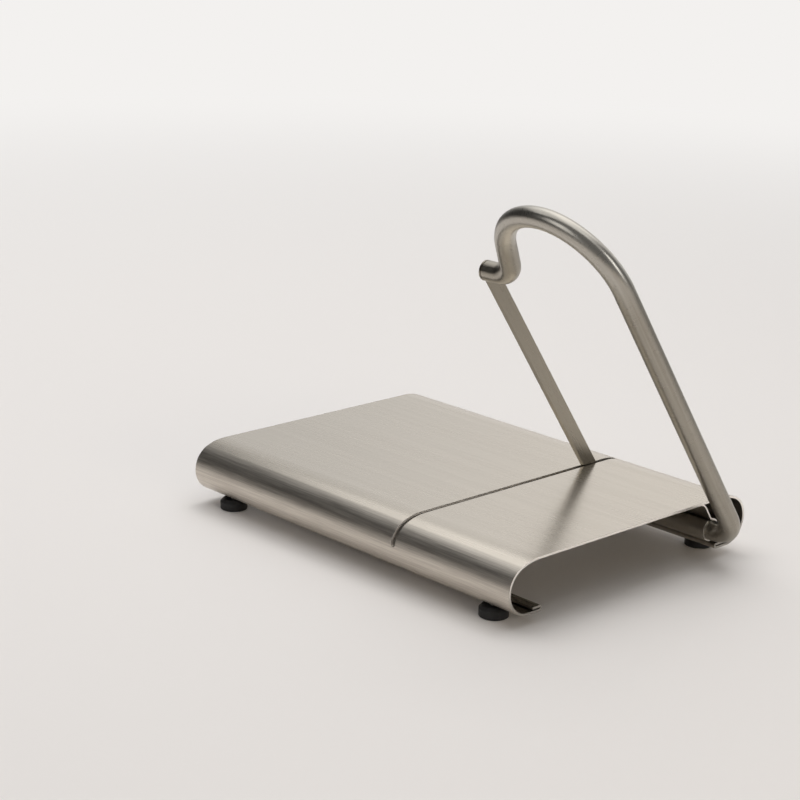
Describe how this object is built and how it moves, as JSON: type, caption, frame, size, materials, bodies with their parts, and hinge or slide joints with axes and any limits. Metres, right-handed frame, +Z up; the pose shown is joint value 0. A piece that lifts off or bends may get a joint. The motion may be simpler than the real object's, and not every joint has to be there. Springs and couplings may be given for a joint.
{
  "type": "guillotine cheese slicer",
  "caption": "Countertop cheese slicer: folded steel deck with rolled edges, and a hinged bent-rod lever that swings a flat blade down into a slot across the deck.",
  "frame": {"origin": "on the table, under the middle of the whole object's box at rest: midway between the deck's left end and the lever arm's outer side, and midway between the front and rear rolls", "axes": "+X along the rolled edges towards the end with the hinged arm, -Y towards the user, +Y towards the hinge, +Z up"},
  "size_m": [0.222, 0.152, 0.1681],
  "materials": {
    "sheet_steel": "brushed stainless sheet, grain along the folds",
    "rod_steel": "satin stainless rod",
    "blade_steel": "satin stainless strip",
    "foot_rubber": "moulded black rubber",
    "fastener_steel": "plain steel"
  },
  "bodies": {
    "base": {"deck_sheet": "sheet_steel", "hinge_bracket": "sheet_steel", "foot_front_left": "foot_rubber", "foot_front_right": "foot_rubber", "foot_rear_left": "foot_rubber", "foot_rear_right": "foot_rubber", "foot_washer_front_left": "fastener_steel", "foot_washer_front_right": "fastener_steel", "foot_washer_rear_left": "fastener_steel", "foot_washer_rear_right": "fastener_steel", "foot_rivet_front_left": "fastener_steel", "foot_rivet_front_right": "fastener_steel", "foot_rivet_rear_left": "fastener_steel", "foot_rivet_rear_right": "fastener_steel"},
    "lever": {"lever_rod": "rod_steel", "blade": "blade_steel", "blade_rivet_shaft": "fastener_steel", "blade_rivet_tip": "fastener_steel", "retaining_clip": "fastener_steel", "thrust_washer": "fastener_steel"}
  },
  "joints": [
    {"name": "lever_hinge", "type": "hinge", "parent": "base", "child": "lever", "pos_m": [0, 0.05385, 0.0144], "axis": [1, 0, 0], "range_deg": [-48, 52.5]}
  ]
}
